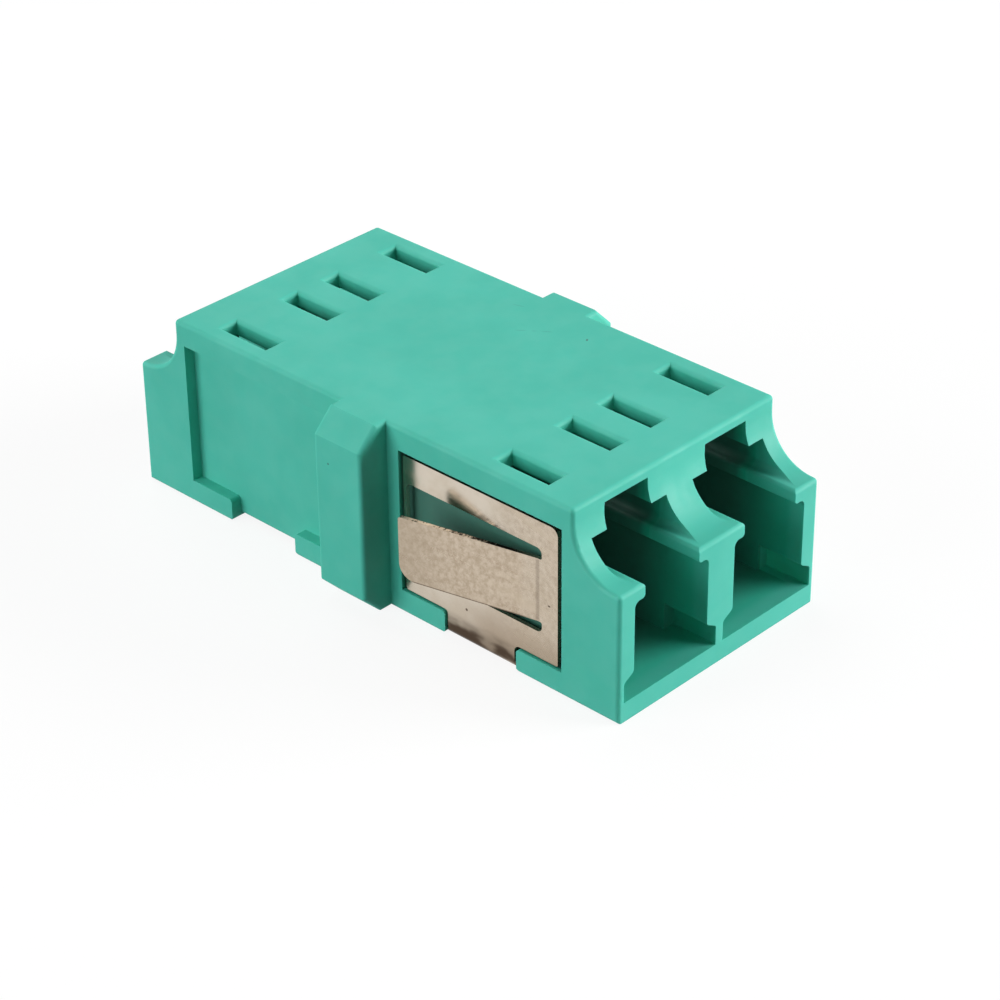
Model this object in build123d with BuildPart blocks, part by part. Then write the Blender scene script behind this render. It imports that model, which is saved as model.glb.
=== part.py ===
"""Duplex fibre coupler: one moulded housing, a folded spring clip, four sleeve holders, two split sleeves.

X runs across the two ports, Y along the fibres with the clip's half at -Y, Z up from the flat underside.
Lengths are in millimetres.
"""
from build123d import *
import math
import os

os.makedirs("parts", exist_ok=True)

# Ports: two plug openings beside each other at each end
port_pitch = 6.25
port_width = 4.6
port_height = 4.6
side_wall = 0.925
floor_thickness = 0.95
under_ledge_round = 0.3
mouth_overrun = 0.3

# Ledges that part each plug opening from the latch channel above it
ledge_reach = 0.62
ledge_thickness = 0.65
ledge_tip_round = 0.16
ledge_root_round = 0.3

# Latch channel, its two catches, and the roof over it
catch_clearance_height = 1.4
catch_height = 1.18
catch_reach_top = 0.98
catch_reach_bottom = 0.93
catch_length = 2.15
roof_thickness = 0.47
inner_roof_thickness = 0.75
channel_end = 3.0

# Latch windows in the roof, behind the catches
window_width = 0.9
window_length = 2.85
window_rim_round = 0.2

# Side relief at the foot of each port wall, beside the mouth
relief_depth = 0.6
relief_height = 0.95
relief_slope = 0.33
relief_length = 2.35
relief_round = 0.2

# Overall length, and the ears left where the roof is cut back
overall_length = 29.0
roof_set_back = 2.55
cut_back_radius = 2.3
outer_round = 0.2

# Collar around the middle
collar_thickness = 2.8
collar_reach = 1.58
collar_chamfer = 1.0
collar_round = 0.2

# Recesses for the spring clip: one on each side of each half, joined by a channel under the floor
recess_depth = 0.55
recess_top_margin = 1.15
recess_collar_margin = 0.68
recess_end_margin = 3.14
pad_height = 1.15
pad_corner_round = 0.18
channel_depth = 0.25
channel_clearance = 0.125
channel_edge_round = 0.16
channel_mouth_chamfer = 0.18
channel_mouth_angle = 45

# Spring clip, folded from sheet
sheet = 0.18
clip_standoff = 0.27
clip_collar_clearance = 0.18
clip_end_clearance = 0.3
clip_top_clearance = 0.2
clip_foot_clearance = 0.09
clip_corner_round = 0.38
clip_small_round = 0.1
strap_width = 3.9
strap_root_round = 0.3
fold_inner_round = 0.1
tongue_height = 3.05
tongue_margin = 1.11
tongue_run = 6.49
tongue_angle = 13.7
tongue_bend_radius = 0.6
tongue_upper_round = 0.12
tongue_lower_round = 0.8
slot_height = 0.52
slot_root_length = 0.23
slot_root_round = 0.1
slot_end_margin = 0.17
slot_corner_round = 0.28

# Centre wall and the sleeve holders seated on it
centre_wall = 1.8
holder_flange = 1.1
holder_clearance = 0.03
spigot_diameter = 2.96
spigot_clearance = 0.02
spigot_gap = 0.1
tube_diameter = 2.6
lip_length = 0.6
lip_bore = 1.42
lead_in_angle = 20
tip_chamfer = 0.18
flange_corner = 0.35

# Split sleeves that line up the ferrules
sleeve_outer = 1.62
sleeve_bore = 1.246
sleeve_length = 6.8
sleeve_slot = 0.26
sleeve_clearance = 0.05
sleeve_end_clearance = 0.05
sleeve_edge_chamfer = 0.07

# Sizes and places that follow from the ones above
body_width = port_pitch + port_width + 2 * side_wall
ledge_gap = port_width - 2 * ledge_reach
catch_gap_top = port_width - 2 * catch_reach_top
catch_gap_bottom = port_width - 2 * catch_reach_bottom
ledge_underside = floor_thickness + port_height
ear_height = ledge_underside + ledge_thickness
catch_underside = ear_height + catch_clearance_height
roof_underside = catch_underside + catch_height
body_height = roof_underside + roof_thickness
half_length = overall_length / 2
half_roof = half_length - roof_set_back
half_wall = centre_wall / 2
half_collar = collar_thickness / 2
window_end = half_roof - catch_length
window_middle = port_width / 2 - window_width / 2
inner_roof_underside = body_height - inner_roof_thickness
relief_bend = floor_thickness + relief_height
relief_top = relief_bend + relief_slope
axis_height = floor_thickness + port_height / 2
port_places = [(-port_pitch / 2, 0, 0), (port_pitch / 2, 0, 0)]
past_mouth = half_length + mouth_overrun
pick_margin = 0.01
recess_floor = body_width / 2 - recess_depth
recess_start = half_collar + recess_collar_margin
recess_end = half_length - recess_end_margin
recess_top = body_height - recess_top_margin
recess_middle = (recess_start + recess_end) / 2
plate_start = recess_start + clip_collar_clearance
plate_end = recess_end - clip_end_clearance
plate_foot = pad_height + clip_foot_clearance
plate_top = recess_top - clip_top_clearance
clip_middle = (plate_start + plate_end) / 2
channel_width = strap_width + 2 * channel_clearance
plate_inner = recess_floor + clip_standoff
plate_outer = plate_inner + sheet
fold_outer_round = fold_inner_round + sheet
strap_underside = channel_depth - sheet
strap_leg = plate_foot - strap_underside
neck_height = strap_leg - fold_outer_round
tongue_middle = (plate_foot + plate_top) / 2
tongue_root = plate_end - tongue_margin
tongue_rise = tongue_run * math.tan(math.radians(tongue_angle))
bend_across = plate_inner + sheet / 2
slot_root = tongue_root + slot_root_length
slot_end = plate_start + slot_end_margin
holder_bore = sleeve_outer + 2 * sleeve_clearance
wall_bore = spigot_diameter + 2 * spigot_clearance
bore_end = sleeve_length / 2 + sleeve_end_clearance
tube_tip = bore_end + lip_length


def near(value):
    """The range that picks what lies at one coordinate."""
    return value - pick_margin, value + pick_margin


def port_edges(across, height):
    """The edges along Y at one height, on both sides of a port's middle."""
    level = edges().filter_by(Axis.Y).filter_by_position(Axis.Z, *near(height))
    return level.filter_by_position(Axis.X, *near(-across)) + level.filter_by_position(Axis.X, *near(across))


def tongue_corners():
    """The two short edges at a tongue's free end, the lower one first."""
    beyond_plate = faces().filter_by_position(Axis.X, plate_outer + sheet, plate_outer + tongue_run)
    free_end = beyond_plate.sort_by(Axis.Y)[-1]
    return free_end.edges().filter_by(Axis.Z, reverse=True).sort_by(Axis.Z)


# Collar blank: a slab with cut corners and softened edges
with BuildPart() as collar:
    with BuildSketch(Plane.XZ):
        with Locations((0, body_height / 2)):
            Rectangle(body_width + 2 * collar_reach, body_height)
        chamfer(vertices(), collar_chamfer)
    extrude(amount=half_collar, both=True)
    end_faces = faces().filter_by(Axis.Y)
    fillet(end_faces.edges(), collar_round)

# Space that one plug and its latch take in the housing, at both ends of one port
with BuildPart() as port_space:
    with BuildSketch(Plane.XZ.offset(half_wall)):
        with Locations((0, axis_height)):
            Rectangle(port_width, port_height)
        fillet(vertices().group_by(Axis.Y)[-1], under_ledge_round)
    extrude(amount=past_mouth - half_wall)
    with BuildSketch(Plane.XZ.offset(channel_end)):
        with Locations((0, ear_height)):
            Rectangle(port_width, catch_clearance_height, align=(Align.CENTER, Align.MIN))
        fillet(vertices().group_by(Axis.Y)[0], ledge_root_round)
        with Locations((0, ledge_underside)):
            Rectangle(ledge_gap, 2 * ledge_thickness)
    extrude(amount=past_mouth - channel_end)
    with BuildSketch(Plane.XZ.offset(channel_end)):
        with Locations((0, catch_underside)):
            Rectangle(
                port_width,
                inner_roof_underside - catch_underside,
                align=(Align.CENTER, Align.MIN),
            )
    extrude(amount=window_end - channel_end)
    with BuildSketch(Plane.XZ.offset(window_end)):
        with BuildLine():
            Polyline(
                (-catch_gap_bottom / 2, catch_underside),
                (catch_gap_bottom / 2, catch_underside),
                (catch_gap_top / 2, roof_underside),
                (-catch_gap_top / 2, roof_underside),
                close=True,
            )
        make_face()
    extrude(amount=past_mouth - window_end)
    with BuildSketch(Plane.XZ.offset(half_length - relief_length)):
        with BuildLine():
            Polyline(
                (0, floor_thickness),
                (port_width / 2 + relief_depth, floor_thickness),
                (port_width / 2 + relief_depth, relief_bend),
                (port_width / 2, relief_top),
                (0, relief_top),
                close=True,
            )
        make_face()
        fillet(vertices().group_by(Axis.X)[-1].sort_by(Axis.Y)[-1], relief_round)
        mirror(about=Plane.YZ)
    extrude(amount=past_mouth - half_length + relief_length)
    ledge_tips = port_edges(ledge_gap / 2, ledge_underside) + port_edges(ledge_gap / 2, ear_height)
    fillet(ledge_tips, ledge_tip_round)
    fillet(port_edges(port_width / 2, relief_top), relief_round)
    with BuildSketch(Plane.XY.offset(inner_roof_underside)):
        with Locations(
            (-window_middle, -window_end + window_length / 2),
            (window_middle, -window_end + window_length / 2),
        ):
            Rectangle(window_width, window_length)
    extrude(amount=2 * inner_roof_thickness)
    with BuildSketch(Plane.XZ):
        with Locations((0, axis_height)):
            Circle(wall_bore / 2)
    extrude(amount=centre_wall)
    mirror(about=Plane.XZ)

# Recess that a clip's plate lies in, on both sides of both halves, with the channel for its strap
with BuildPart() as clip_space:
    with BuildSketch(Plane.YZ.offset(recess_floor)):
        with Locations((recess_middle, (pad_height + recess_top) / 2)):
            Rectangle(recess_end - recess_start, recess_top - pad_height)
        with Locations((recess_middle, 0)):
            Rectangle(channel_width, pad_height, align=(Align.CENTER, Align.MIN))
        fillet(vertices().group_by(Axis.Y)[1].sort_by(Axis.X)[1:3], pad_corner_round)
    extrude(amount=2 * recess_depth)
    mirror(about=Plane.YZ)
    with BuildSketch(Plane.XY):
        with Locations((0, recess_middle)):
            Rectangle(body_width, channel_width)
    extrude(amount=channel_depth)
    with BuildSketch(Plane.XY):
        with Locations((0, recess_middle)):
            Rectangle(body_width + 2 * channel_mouth_chamfer, channel_width + 2 * channel_mouth_chamfer)
    extrude(amount=channel_mouth_chamfer, taper=channel_mouth_angle)
    mirror(about=Plane.XZ)

# Moulded housing
with BuildPart() as housing:
    with BuildSketch(Plane.YZ):
        with BuildLine():
            Polyline(
                (0, 0),
                (half_length, 0),
                (half_length, ear_height),
                (half_roof + cut_back_radius, ear_height),
            )
            CenterArc(
                (half_roof + cut_back_radius, ear_height + cut_back_radius),
                cut_back_radius,
                270,
                -90,
            )
            Polyline(
                (half_roof, ear_height + cut_back_radius),
                (half_roof, body_height),
                (0, body_height),
            )
            mirror(about=Plane.YZ)
        make_face()
    extrude(amount=body_width / 2, both=True)
    roof_ends = edges().filter_by(Axis.X).group_by(Axis.Z)[-1]
    fillet(roof_ends, outer_round)
    ear_tops = edges().filter_by(Axis.X).filter_by_position(Axis.Z, *near(ear_height)).sort_by(Axis.Y)
    fillet([ear_tops[0], ear_tops[-1]], outer_round)
    fillet(faces().filter_by(Axis.X).edges(), outer_round)
    add(collar.part)
    with Locations(*port_places):
        add(port_space.part, mode=Mode.SUBTRACT)
    add(clip_space.part, mode=Mode.SUBTRACT)
    channel_edges = edges().filter_by(Axis.Y).filter_by_position(Axis.Z, *near(channel_depth))
    fillet(channel_edges, channel_edge_round)
    roof_face = faces().sort_by(Axis.Z)[-1]
    window_rims = [rim for opening in roof_face.inner_wires() for rim in opening.edges()]
    fillet(window_rims, window_rim_round)
housing.part.label = "housing"

# Spring clip: two plates joined by a strap under the floor, each with a tongue bent outwards
with BuildPart() as clip:
    with BuildSketch(Plane.XZ.offset(clip_middle - strap_width / 2)):
        with Locations((0, strap_underside)):
            Rectangle(2 * plate_outer, strap_leg, align=(Align.CENTER, Align.MIN))
        fillet(vertices().group_by(Axis.Y)[0], fold_outer_round)
        with BuildSketch(mode=Mode.PRIVATE) as strap_inside:
            with Locations((0, channel_depth)):
                Rectangle(2 * plate_inner, strap_leg, align=(Align.CENTER, Align.MIN))
            fillet(vertices().group_by(Axis.Y)[0], fold_inner_round)
        add(strap_inside.sketch, mode=Mode.SUBTRACT)
    extrude(amount=strap_width)
    with BuildSketch(Plane.YZ.offset(plate_inner)):
        with Locations((-clip_middle, (plate_foot + plate_top) / 2)):
            Rectangle(plate_end - plate_start, plate_top - plate_foot)
        fillet(vertices().group_by(Axis.Y)[-1].sort_by(Axis.X)[0], clip_corner_round)
        fillet(vertices().group_by(Axis.Y)[-1].sort_by(Axis.X)[-1], clip_small_round)
        fillet(vertices().group_by(Axis.Y)[0], clip_small_round)
        with Locations((-clip_middle, plate_foot)):
            Rectangle(strap_width, neck_height, align=(Align.CENTER, Align.MAX))
        foot_corners = vertices().filter_by_position(Axis.Y, *near(plate_foot)).sort_by(Axis.X)
        fillet(foot_corners[1:3], strap_root_round)
    extrude(amount=sheet)
    with BuildSketch(Plane.YZ.offset(plate_inner)):
        with Locations((-(slot_root + slot_end) / 2, tongue_middle)):
            RectangleRounded(
                slot_root - slot_end,
                tongue_height + 2 * slot_height,
                slot_corner_round,
            )
        with Locations((-slot_root, tongue_middle)):
            Rectangle(
                slot_root_length,
                tongue_height,
                align=(Align.MIN, Align.CENTER),
                mode=Mode.SUBTRACT,
            )
        fillet(vertices().group_by(Axis.X)[0].sort_by(Axis.Y)[1:3], slot_root_round)
    extrude(amount=sheet, mode=Mode.SUBTRACT)
    with BuildSketch(Plane.XY.offset(tongue_middle - tongue_height / 2)):
        with BuildLine():
            FilletPolyline(
                (bend_across, -slot_root),
                (bend_across, -tongue_root),
                (bend_across + tongue_rise, -tongue_root + tongue_run),
                radius=tongue_bend_radius,
            )
        trace(line_width=sheet)
    extrude(amount=tongue_height)
    fillet(tongue_corners()[0], tongue_lower_round)
    fillet(tongue_corners()[-1], tongue_upper_round)
    mirror(about=Plane.YZ)
clip.part.label = "panel_clip"

# Sleeve holders: a flange seated on the centre wall, a spigot in its bore and a tube around the sleeve
holders = []
for side, place in zip(("left", "right"), port_places):
    port_axis = (place[0], axis_height)
    with BuildPart() as near_holder:
        with BuildSketch(Plane.XZ.offset(half_wall)):
            with Locations(port_axis):
                Rectangle(port_width - 2 * holder_clearance, port_height - 2 * holder_clearance)
            chamfer(vertices(), flange_corner)
        extrude(amount=holder_flange)
        with BuildSketch(Plane.XZ.offset(spigot_gap / 2)):
            with Locations(port_axis):
                Circle(spigot_diameter / 2)
        extrude(amount=half_wall - spigot_gap / 2)
        with BuildSketch(Plane.XZ.offset(half_wall)):
            with Locations(port_axis):
                Circle(tube_diameter / 2)
        extrude(amount=tube_tip - half_wall)
        chamfer(edges().filter_by(GeomType.CIRCLE).sort_by(Axis.Y)[0], tip_chamfer)
        with BuildSketch(Plane.XZ):
            with Locations(port_axis):
                Circle(holder_bore / 2)
        extrude(amount=bore_end, mode=Mode.SUBTRACT)
        with BuildSketch(Plane.XZ.offset(bore_end)):
            with Locations(port_axis):
                Circle(lip_bore / 2)
        extrude(amount=lip_length, taper=-lead_in_angle, mode=Mode.SUBTRACT)
    near_holder.part.label = f"near_{side}_sleeve_holder"
    with BuildPart() as far_holder:
        mirror(near_holder.part, about=Plane.XZ)
    far_holder.part.label = f"far_{side}_sleeve_holder"
    holders += [near_holder.part, far_holder.part]

# Split sleeves, open along the top by a narrow slot
sleeves = []
for side, place in zip(("left", "right"), port_places):
    port_axis = (place[0], axis_height)
    with BuildPart() as sleeve:
        with BuildSketch(Plane.XZ):
            with Locations(port_axis):
                Circle(sleeve_outer / 2)
                Circle(sleeve_bore / 2, mode=Mode.SUBTRACT)
                Rectangle(sleeve_slot, sleeve_outer, align=(Align.CENTER, Align.MIN), mode=Mode.SUBTRACT)
        extrude(amount=sleeve_length / 2, both=True)
        rims = edges().filter_by(GeomType.CIRCLE).group_by(SortBy.RADIUS)[-1]
        chamfer(rims, sleeve_edge_chamfer)
    sleeve.part.label = f"{side}_split_sleeve"
    sleeves.append(sleeve.part)

for piece in [housing.part, clip.part, *holders, *sleeves]:
    export_step(piece, f"parts/{piece.label}.step")
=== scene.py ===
"""Looks of the duplex fibre coupler: moulded aqua plastic, a bright spring clip, white ceramic sleeves.

Lengths are in metres, in the part's own frame: X across the ports, Y along the fibres with the clip's half
at -Y, Z up from the underside.
"""
import bpy
import math
from mathutils import Matrix, Vector


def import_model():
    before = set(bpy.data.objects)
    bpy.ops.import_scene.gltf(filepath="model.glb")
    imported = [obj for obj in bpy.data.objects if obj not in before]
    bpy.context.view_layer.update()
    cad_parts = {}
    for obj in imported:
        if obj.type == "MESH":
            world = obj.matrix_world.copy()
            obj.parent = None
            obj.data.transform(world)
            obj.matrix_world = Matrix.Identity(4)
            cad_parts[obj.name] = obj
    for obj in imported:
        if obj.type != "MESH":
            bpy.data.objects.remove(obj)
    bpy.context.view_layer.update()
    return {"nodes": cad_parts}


MM = 0.001


def colour(r, g, b):
    """A colour with full alpha."""
    return (r, g, b, 1.0)


def span(low, high):
    """Two places given in millimetres, as metres."""
    return low * MM, high * MM


# Camera: the photograph's viewing angle and framing
AZIMUTH = math.radians(-46.3)
ELEVATION = math.radians(31.41)
ROLL = math.radians(-0.565)
DISTANCE = 130.4 * MM
TARGET = Vector((-2.094, -3.895, 4.5)) * MM
LENS = 109.33
SENSOR = 36.0
NEAREST_SEEN = 0.01
FARTHEST_SEEN = 10.0

# Studio: how much the room lights the object, and the floor's own grey, the glow added where it is seen,
# its gap under the object and its size
WHITE = colour(1.0, 1.0, 1.0)
ROOM_LIGHT = 0.015
FLOOR_GREY = 0.15
FLOOR_GLOW = 0.88
FLOOR_GAP = 0.01 * MM
FLOOR_SIZE = 4.0

# Lamps: how far away they stand, then for each its name, direction from the object, side and strength
LAMP_DISTANCE = 0.5
LAMPS = (
    ("key", (1.05, -1.05, 0.4), 0.3, 1.45),
    ("fill_left", (-1.0, 0.35, 0.3), 0.4, 0.9),
    ("top_back", (0.2, 0.8, 1.2), 0.4, 0.4),
)

# The plastic's colours: a flow between two greens, painted shade for sheltered places, darker painted shade
# for the deepest ones, lines and specks
AQUA = (colour(0.034, 0.505, 0.385), colour(0.048, 0.550, 0.425))
# The next two colours are painted shade, a lighter one and a darker one
AQUA_SHADED = colour(0.006, 0.50, 0.355)
AQUA_DEEP_SHADE = colour(0.002, 0.06, 0.038)
AQUA_LINE = colour(0.02, 0.30, 0.23)
AQUA_SPECK = colour(0.008, 0.17, 0.13)

# Small marks on the housing in millimetres, as the photograph shows them: centre, half lengths, turn about Z
HOUSING_MARKS = (
    ((-7.93, 0.54, 7.07), (0.10, 0.07, 0.07), 0.0),
    ((4.6, -2.85, 9.25), (0.13, 0.07, 0.07), 0.6),
)
MOULD_LINES = (
    ((4.94, 1.56, 9.25), (0.05, 0.42, 0.1), 0.3),
    ((3.30, -0.11, 9.25), (0.06, 0.32, 0.1), 0.64),
    ((3.65, -0.58, 9.25), (0.05, 0.16, 0.1), 0.64),
    ((3.98, -1.03, 9.25), (0.06, 0.34, 0.1), 0.64),
)

# Where painted shade darkens the ports, as stretches over which it changes: inward from the mouth and from
# the roof's cut-back, by height at the ledges, the roof and the floor, and sideways at the ports' walls
PORT_STRETCH = span(10.2, 14.3)
ROOF_STRETCH = span(11.0, 11.9)
LEDGE_LEVEL = span(5.4, 5.6)
ROOF_LEVEL = span(8.45, 8.6)
FLOOR_LEVEL = span(0.4, 0.7)
PORT_SIDE = span(5.5, 5.6)

# The recess behind the clip, which gets painted shade too: its two sides, its two ends and the shade's
# strength
RECESS_INNER = span(5.6, 5.7)
RECESS_OUTER = span(6.1, 6.25)
RECESS_NEAR_END = span(-11.7, -11.5)
RECESS_FAR_END = span(-1.4, -1.3)
RECESS_SHADE = 0.95

# The sheet's colours: smooth plates, mottled tongues, their tips, rolled bands, tan, lines and a painted
# shade line, painted shade at the lower bends, torn edge
SMOOTH = (colour(0.59, 0.51, 0.41), colour(0.66, 0.585, 0.49))
MOTTLED = (colour(0.41, 0.325, 0.235), colour(0.59, 0.495, 0.39))
TIP = colour(0.38, 0.31, 0.23)
BAND = colour(0.56, 0.47, 0.36)
TAN = colour(0.38, 0.30, 0.22)
LINE_AND_SHADE = colour(0.12, 0.085, 0.06)
LOW_BEND_SHADE = colour(0.07, 0.045, 0.028)
TORN = (colour(0.02, 0.016, 0.012), colour(0.46, 0.40, 0.33))

# Places on the spring clip, as stretches over which its look changes
TONGUE_OUT = span(6.27, 6.47)
MOUTH_STRETCH = span(-9.2, -6.6)
TIP_STRETCH = span(-6.5, -3.8)
TAN_STRETCH = span(-7.5, -5.0)
TAN_LEVEL = span(1.2, 3.1)
LOW_BEND_SHADE_LEVEL = span(0.6, 1.4)
TORN_STRETCH = span(-9.5, -3.5)

# The tongues' middle, half height and bend, the widths of the bend's line and of the painted shade line
# along the lower edge, and the slant and stretch of the rolled bands
TONGUE_MIDDLE = 4.57 * MM
TONGUE_HALF = 1.525 * MM
TONGUE_BEND = -9.95 * MM
TONGUE_MARGIN = 0.1 * MM
BEND_WIDTH = span(0.03, 0.14)
EDGE_SHADE_WIDTH = span(0.03, 0.06)
BAND_SLANT = 0.2
BANDS_ALONG = 280.0
BANDS_ACROSS = 2700.0

# Small dark marks on the sheet in millimetres: centre, half lengths, turn about Z
SHEET_MARKS = (
    ((-6.25, -5.86, 1.76), (0.09, 0.09, 0.09), 0.0),
    ((-6.25, -10.58, 4.03), (0.09, 0.10, 0.06), 0.0),
)

CERAMIC = (colour(0.78, 0.78, 0.75), colour(0.84, 0.84, 0.82))

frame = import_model()


class Nodes:
    """A material's node tree, with short calls that add and join nodes."""

    def __init__(self, name):
        self.material = bpy.data.materials.new(name)
        self.material.use_nodes = True
        self.tree = self.material.node_tree
        self.shader = self.tree.nodes["Principled BSDF"]
        self.coords = self.add("ShaderNodeTexCoord").outputs["Object"]

    def add(self, kind, **values):
        """A node, with its settings by attribute name and its numbers by input name."""
        node = self.tree.nodes.new(kind)
        for key, value in values.items():
            if hasattr(node, key):
                setattr(node, key, value)
            else:
                node.inputs[key.replace("_", " ")].default_value = value
        return node

    def join(self, source, target):
        """Links an output to an input."""
        self.tree.links.new(source, target)

    def feed(self, value, socket):
        """Gives a socket its value, which is a number, a colour or another node's output."""
        if isinstance(value, bpy.types.NodeSocket):
            self.join(value, socket)
        else:
            socket.default_value = value

    def stretched(self, scale):
        """The object's coordinates, scaled along each axis."""
        node = self.add("ShaderNodeMapping", Scale=scale)
        self.join(self.coords, node.inputs["Vector"])
        return node.outputs["Vector"]

    def noise(self, scale, detail=3.0, roughness=0.5, vector=None):
        """Noise in the object's coordinates or in another vector's, mostly between 0.3 and 0.7."""
        node = self.add("ShaderNodeTexNoise", Scale=scale, Detail=detail, Roughness=roughness)
        self.join(self.coords if vector is None else vector, node.inputs["Vector"])
        return node.outputs["Fac"]

    def ramp(self, value, low, high, out_low=0.0, out_high=1.0):
        """The value remapped, smoothly and within its limits."""
        node = self.add("ShaderNodeMapRange", interpolation_type="SMOOTHSTEP")
        names = ("From Min", "From Max", "To Min", "To Max")
        for name, number in zip(names, (low, high, out_low, out_high)):
            node.inputs[name].default_value = number
        self.join(value, node.inputs["Value"])
        return node.outputs["Result"]

    def fade(self, value, low, high, most=1.0):
        """The most up to the low value, and 0 from the high value on."""
        return self.ramp(value, low, high, most, 0.0)

    def math(self, operation, a, b=0.0):
        """The result of an operation on one or two values; each is a number or a socket."""
        node = self.add("ShaderNodeMath", operation=operation)
        self.feed(a, node.inputs[0])
        self.feed(b, node.inputs[1])
        return node.outputs["Value"]

    def times(self, a, b):
        """Two values multiplied."""
        return self.math("MULTIPLY", a, b)

    def axis(self, name):
        """One of the object's coordinates."""
        node = self.add("ShaderNodeSeparateXYZ")
        self.join(self.coords, node.inputs["Vector"])
        return node.outputs[name]

    def distance(self, value, place=0.0):
        """How far a value is from one place."""
        return self.math("ABSOLUTE", self.math("SUBTRACT", value, place))

    def marks(self, places):
        """Soft oval marks, given in millimetres: 1 in their middles, 0 outside."""
        total = 0.0
        for centre, size, turn in places:
            oval = self.add("ShaderNodeMapping", vector_type="TEXTURE")
            oval.inputs["Location"].default_value = Vector(centre) * MM
            oval.inputs["Rotation"].default_value = (0.0, 0.0, turn)
            oval.inputs["Scale"].default_value = Vector(size) * MM
            self.join(self.coords, oval.inputs["Vector"])
            reach = self.add("ShaderNodeVectorMath", operation="LENGTH")
            self.join(oval.outputs["Vector"], reach.inputs[0])
            total = self.math("MAXIMUM", self.fade(reach.outputs["Value"], 0.4, 1.0), total)
        return total

    def mix(self, factor, a, b):
        """One colour blended into another; each is a colour or a socket."""
        node = self.add("ShaderNodeMix", data_type="RGBA")
        first_colour, second_colour, result = node.inputs[6], node.inputs[7], node.outputs[2]
        self.join(factor, node.inputs["Factor"])
        self.feed(a, first_colour)
        self.feed(b, second_colour)
        return result

    def bump(self, height, distance, strength=1.0, under=None):
        """A surface's normal with a height map's relief, over another relief if there is one."""
        node = self.add("ShaderNodeBump", Strength=strength, Distance=distance)
        self.join(height, node.inputs["Height"])
        if under is not None:
            self.join(under, node.inputs["Normal"])
        return node.outputs["Normal"]


def painted_inner_shade(n):
    """How much painted shade a place on the housing gets: 0 in the open, 1 deep in a port, 0.95 behind the
    clip.
    """
    side, inward = n.distance(n.axis("X")), n.distance(n.axis("Y"))
    along, height = n.axis("Y"), n.axis("Z")
    above_ledges = n.fade(inward, *ROOF_STRETCH)
    below_ledges = n.fade(height, *LEDGE_LEVEL)
    open_space = n.math("MAXIMUM", above_ledges, below_ledges)
    painted_shade = n.math("MINIMUM", n.fade(inward, *PORT_STRETCH), open_space)
    port_shade = n.times(painted_shade, n.fade(side, *PORT_SIDE))

    between_ends = n.times(n.ramp(along, *RECESS_NEAR_END), n.fade(along, *RECESS_FAR_END))
    between_sides = n.times(n.ramp(side, *RECESS_INNER), n.fade(side, *RECESS_OUTER, most=RECESS_SHADE))
    recess_shade = n.times(between_ends, between_sides)

    between_levels = n.times(n.ramp(height, *FLOOR_LEVEL), n.fade(height, *ROOF_LEVEL))
    return n.times(n.math("MAXIMUM", port_shade, recess_shade), between_levels)


def moulded_plastic():
    """Aqua green, fine satin, a little translucent, with a faint flow, the mould's fine grain and painted
    shade in the ports and behind the clip.
    """
    n = Nodes("moulded_aqua")
    skin = n.mix(n.ramp(n.noise(180, 4), 0.35, 0.65), *AQUA)
    # Painted shade: the colour darkens deep in the ports and in the recess behind the clip
    painted_shade = painted_inner_shade(n)
    shaded_skin = n.mix(n.ramp(painted_shade, 0.0, 0.1), skin, AQUA_SHADED)
    deep_shaded = n.mix(n.times(painted_shade, 0.92), shaded_skin, AQUA_DEEP_SHADE)
    lined = n.mix(n.times(n.marks(MOULD_LINES), 0.35), deep_shaded, AQUA_LINE)
    n.join(n.mix(n.marks(HOUSING_MARKS), lined, AQUA_SPECK), n.shader.inputs["Base Color"])

    n.join(n.ramp(n.noise(900, 3), 0.3, 0.7, 0.68, 0.78), n.shader.inputs["Roughness"])
    grain = n.bump(n.noise(9000, 2), 0.004 * MM, 0.35)
    waves = n.bump(n.noise(200, 1), 0.004 * MM, 0.15, grain)
    n.join(waves, n.shader.inputs["Normal"])
    n.shader.inputs["Specular IOR Level"].default_value = 1.0
    n.shader.inputs["Subsurface Weight"].default_value = 0.2
    n.shader.inputs["Subsurface Radius"].default_value = (0.15, 1.0, 0.75)
    n.shader.inputs["Subsurface Scale"].default_value = 0.6 * MM
    return n.material


def rolled_bands(n, y, z):
    """Fine slanting bands, as rolling leaves them in the sheet."""
    place = n.add("ShaderNodeCombineXYZ")
    across = n.math("SUBTRACT", z, n.times(y, BAND_SLANT))
    n.join(n.times(y, BANDS_ALONG), place.inputs["Y"])
    n.join(n.times(across, BANDS_ACROSS), place.inputs["Z"])
    return n.noise(1.0, 2, 0.5, place.outputs["Vector"])


def torn_edge(n, y):
    """The tongues' cut edge: dark and ragged towards the bend, brighter towards the tip."""
    ragged = n.noise(1.0, 4, 0.7, n.stretched((4000, 8000, 4000)))
    torn = n.math("ADD", ragged, n.ramp(y, *TORN_STRETCH, -0.12, 0.09))
    return n.mix(n.ramp(torn, 0.45, 0.56), *TORN)


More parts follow.
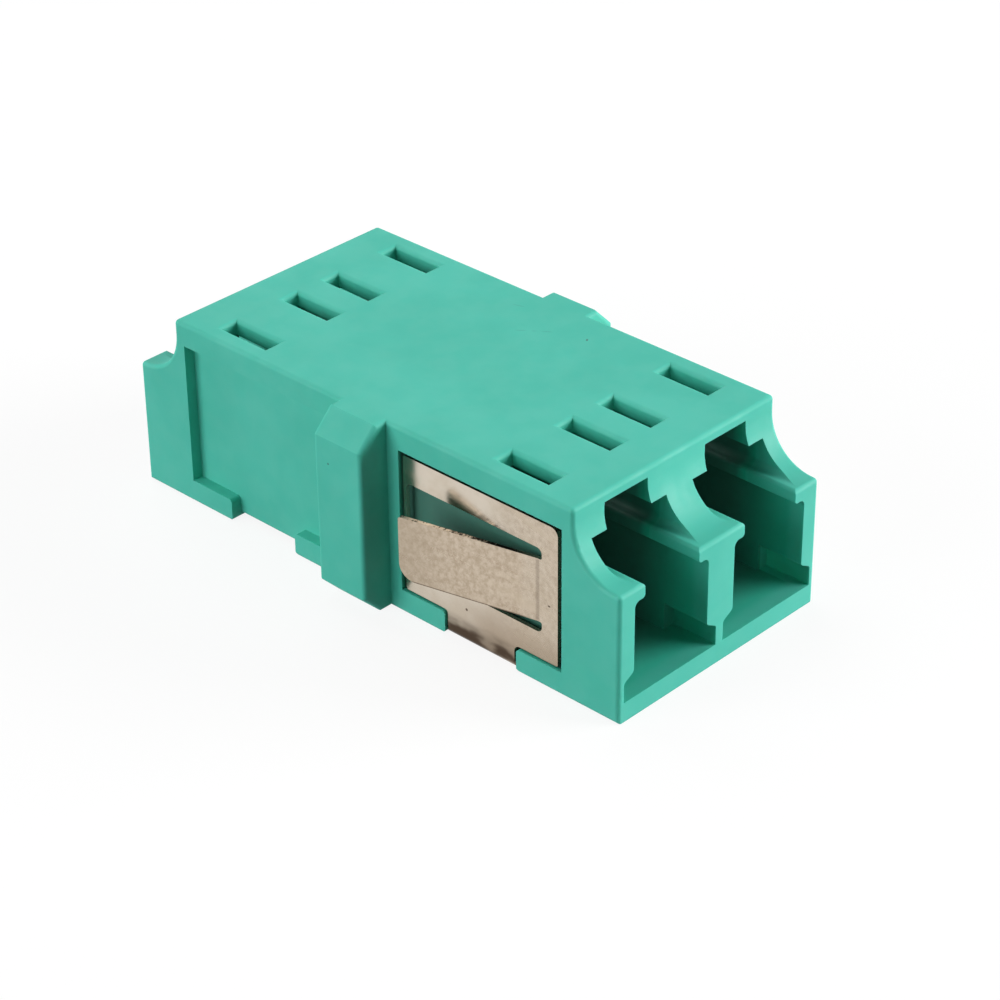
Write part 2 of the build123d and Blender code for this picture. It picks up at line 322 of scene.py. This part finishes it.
def spring_sheet():
    """Warm bright sheet: smooth plates, mottled tongues, rolled bands by the mouth, painted shade along the
    lower bends and the tongues' lower edges.
    """
    n = Nodes("spring_sheet")
    x, y, z = (n.axis(name) for name in "XYZ")
    tongue = n.ramp(n.distance(x), *TONGUE_OUT)
    by_mouth = n.fade(y, *MOUTH_STRETCH)
    worked = n.math("MAXIMUM", tongue, n.times(by_mouth, 0.7))
    rolled = rolled_bands(n, y, z)

    smooth = n.mix(n.ramp(n.noise(700, 3), 0.35, 0.65), *SMOOTH)
    mottled = n.mix(n.ramp(n.noise(3800, 6, 0.75), 0.32, 0.68), *MOTTLED)
    tip = n.times(n.ramp(y, *TIP_STRETCH, 0.0, 0.45), tongue)
    skin = n.mix(tip, n.mix(worked, smooth, mottled), TIP)
    banded = n.mix(n.times(n.ramp(rolled, 0.47, 0.60, 0.0, 0.5), by_mouth), skin, BAND)
    low = n.times(n.fade(z, *TAN_LEVEL, most=0.85), n.ramp(y, *TAN_STRETCH, 1.0, 0.25))
    tanned = n.mix(low, banded, TAN)

    on_tongue = n.fade(n.distance(z, TONGUE_MIDDLE), TONGUE_HALF - TONGUE_MARGIN, TONGUE_HALF)
    bend = n.times(n.fade(n.distance(y, TONGUE_BEND), *BEND_WIDTH, most=0.35), on_tongue)
    # Painted shade: a dark line along each tongue's lower edge
    from_edge = n.distance(z, TONGUE_MIDDLE - TONGUE_HALF)
    lower_edge_shade = n.times(n.fade(from_edge, *EDGE_SHADE_WIDTH, most=0.85), tongue)
    lines_and_shade = n.math("MAXIMUM", bend, lower_edge_shade)
    lined = n.mix(n.math("MAXIMUM", lines_and_shade, n.marks(SHEET_MARKS)), tanned, LINE_AND_SHADE)

    # Painted shade: patchy dark brown near the bottom of the sheet, where it sits by the floor
    patches = n.ramp(n.noise(1.0, 2, 0.5, n.stretched((0, 600, 1500))), 0.36, 0.60, 0.45, 1.0)
    low_shaded = n.mix(n.times(n.fade(z, *LOW_BEND_SHADE_LEVEL), patches), lined, LOW_BEND_SHADE)
    normal = n.add("ShaderNodeSeparateXYZ")
    n.join(n.add("ShaderNodeTexCoord").outputs["Normal"], normal.inputs["Vector"])
    sheared = n.times(n.ramp(normal.outputs["Z"], 0.5, 0.8), tongue)
    n.join(n.mix(sheared, low_shaded, torn_edge(n, y)), n.shader.inputs["Base Color"])

    n.shader.inputs["Metallic"].default_value = 1.0
    rough = n.math("ADD", n.ramp(worked, 0.0, 1.0, 0.13, 0.27), n.ramp(rolled, 0.3, 0.7, 0.0, 0.06))
    n.join(rough, n.shader.inputs["Roughness"])
    ridges = n.times(rolled, n.ramp(by_mouth, 0.0, 1.0, 0.002 * MM, 0.025 * MM))
    grain = n.times(n.noise(3800, 4, 0.6), n.ramp(worked, 0.0, 1.0, 0.001 * MM, 0.008 * MM))
    n.join(n.bump(n.math("ADD", ridges, grain), 1.0, 0.6), n.shader.inputs["Normal"])
    return n.material


def white_ceramic():
    """Ground white ceramic, nearly plain."""
    n = Nodes("white_ceramic")
    n.join(n.mix(n.ramp(n.noise(1500, 3), 0.4, 0.6), *CERAMIC), n.shader.inputs["Base Color"])
    n.shader.inputs["Roughness"].default_value = 0.22
    n.join(n.bump(n.noise(6000, 2), 0.002 * MM, 0.3), n.shader.inputs["Normal"])
    return n.material


def dress(node, material):
    """Gives a CAD node its material."""
    node.data.materials.clear()
    node.data.materials.append(material)


def seen_or_mirrored(tree):
    """1 for rays from the camera and for what is mirrored or seen through, 0 for light on its way."""
    path = tree.nodes.new("ShaderNodeLightPath")
    total = path.outputs["Is Camera Ray"]
    for name in ("Is Glossy Ray", "Is Transmission Ray"):
        node = tree.nodes.new("ShaderNodeMath")
        node.operation = "MAXIMUM"
        tree.links.new(total, node.inputs[0])
        tree.links.new(path.outputs[name], node.inputs[1])
        total = node.outputs["Value"]
    return total


def floor():
    """A pale floor that shows as white, with the object's own soft shadow on it."""
    bpy.ops.mesh.primitive_plane_add(size=FLOOR_SIZE, location=(0, 0, -FLOOR_GAP))
    plane = bpy.context.object
    plane.name = "floor"
    n = Nodes("floor_white")
    n.shader.inputs["Base Color"].default_value = colour(FLOOR_GREY, FLOOR_GREY, FLOOR_GREY)
    n.shader.inputs["Roughness"].default_value = 0.9
    n.shader.inputs["Specular IOR Level"].default_value = 0.0
    glow = n.add("ShaderNodeEmission", Color=WHITE, Strength=FLOOR_GLOW)
    both = n.add("ShaderNodeAddShader")
    n.join(n.shader.outputs["BSDF"], both.inputs[0])
    n.join(glow.outputs["Emission"], both.inputs[1])
    pick = n.add("ShaderNodeMixShader")
    n.join(seen_or_mirrored(n.tree), pick.inputs["Fac"])
    n.join(n.shader.outputs["BSDF"], pick.inputs[1])
    n.join(both.outputs["Shader"], pick.inputs[2])
    n.join(pick.outputs["Shader"], n.tree.nodes["Material Output"].inputs["Surface"])
    plane.data.materials.append(n.material)


def world():
    """A studio room: white to the camera and in reflections, much dimmer as light."""
    scene = bpy.context.scene
    scene.world = bpy.data.worlds.new("studio")
    scene.world.use_nodes = True
    tree = scene.world.node_tree
    tree.nodes.clear()
    out = tree.nodes.new("ShaderNodeOutputWorld")
    pick = tree.nodes.new("ShaderNodeMixShader")
    tree.links.new(seen_or_mirrored(tree), pick.inputs["Fac"])
    for socket, strength in ((pick.inputs[1], ROOM_LIGHT), (pick.inputs[2], 1.0)):
        node = tree.nodes.new("ShaderNodeBackground")
        node.inputs["Color"].default_value = WHITE
        node.inputs["Strength"].default_value = strength
        tree.links.new(node.outputs["Background"], socket)
    tree.links.new(pick.outputs["Shader"], out.inputs["Surface"])


def softbox(name, direction, size, strength):
    """A square lamp that faces the object; at strength 1 a white surface square to it shows as white."""
    data = bpy.data.lights.new(name, "AREA")
    data.size = size
    data.energy = strength * (math.pi * LAMP_DISTANCE) ** 2
    lamp = bpy.data.objects.new(name, data)
    bpy.context.scene.collection.objects.link(lamp)
    aim = Vector(direction).normalized()
    lamp.location = aim * LAMP_DISTANCE
    lamp.rotation_mode = "QUATERNION"
    lamp.rotation_quaternion = aim.to_track_quat("Z", "Y")


def camera():
    """The photograph's camera, with its slight roll."""
    data = bpy.data.cameras.new("photo_camera")
    data.lens = LENS
    data.sensor_width = SENSOR
    data.clip_start = NEAREST_SEEN
    data.clip_end = FARTHEST_SEEN
    eye = bpy.data.objects.new("photo_camera", data)
    bpy.context.scene.collection.objects.link(eye)
    back = Vector((
        math.sin(AZIMUTH) * math.cos(ELEVATION),
        -math.cos(AZIMUTH) * math.cos(ELEVATION),
        math.sin(ELEVATION),
    ))
    right = Vector((0, 0, 1)).cross(back).normalized()
    up = back.cross(right)
    turned_right = math.cos(ROLL) * right + math.sin(ROLL) * up
    turned_up = math.cos(ROLL) * up - math.sin(ROLL) * right
    eye.matrix_world = Matrix.Translation(TARGET + DISTANCE * back) @ Matrix((
        (turned_right.x, turned_up.x, back.x),
        (turned_right.y, turned_up.y, back.y),
        (turned_right.z, turned_up.z, back.z),
    )).to_4x4()
    bpy.context.scene.camera = eye


plastic = moulded_plastic()
sheet = spring_sheet()
ceramic = white_ceramic()
for name, node in frame["nodes"].items():
    if name == "panel_clip":
        dress(node, sheet)
    elif name.endswith("split_sleeve"):
        dress(node, ceramic)
    else:
        dress(node, plastic)

floor()
world()
for lamp in LAMPS:
    softbox(*lamp)
camera()
bpy.context.scene.view_settings.view_transform = "Standard"
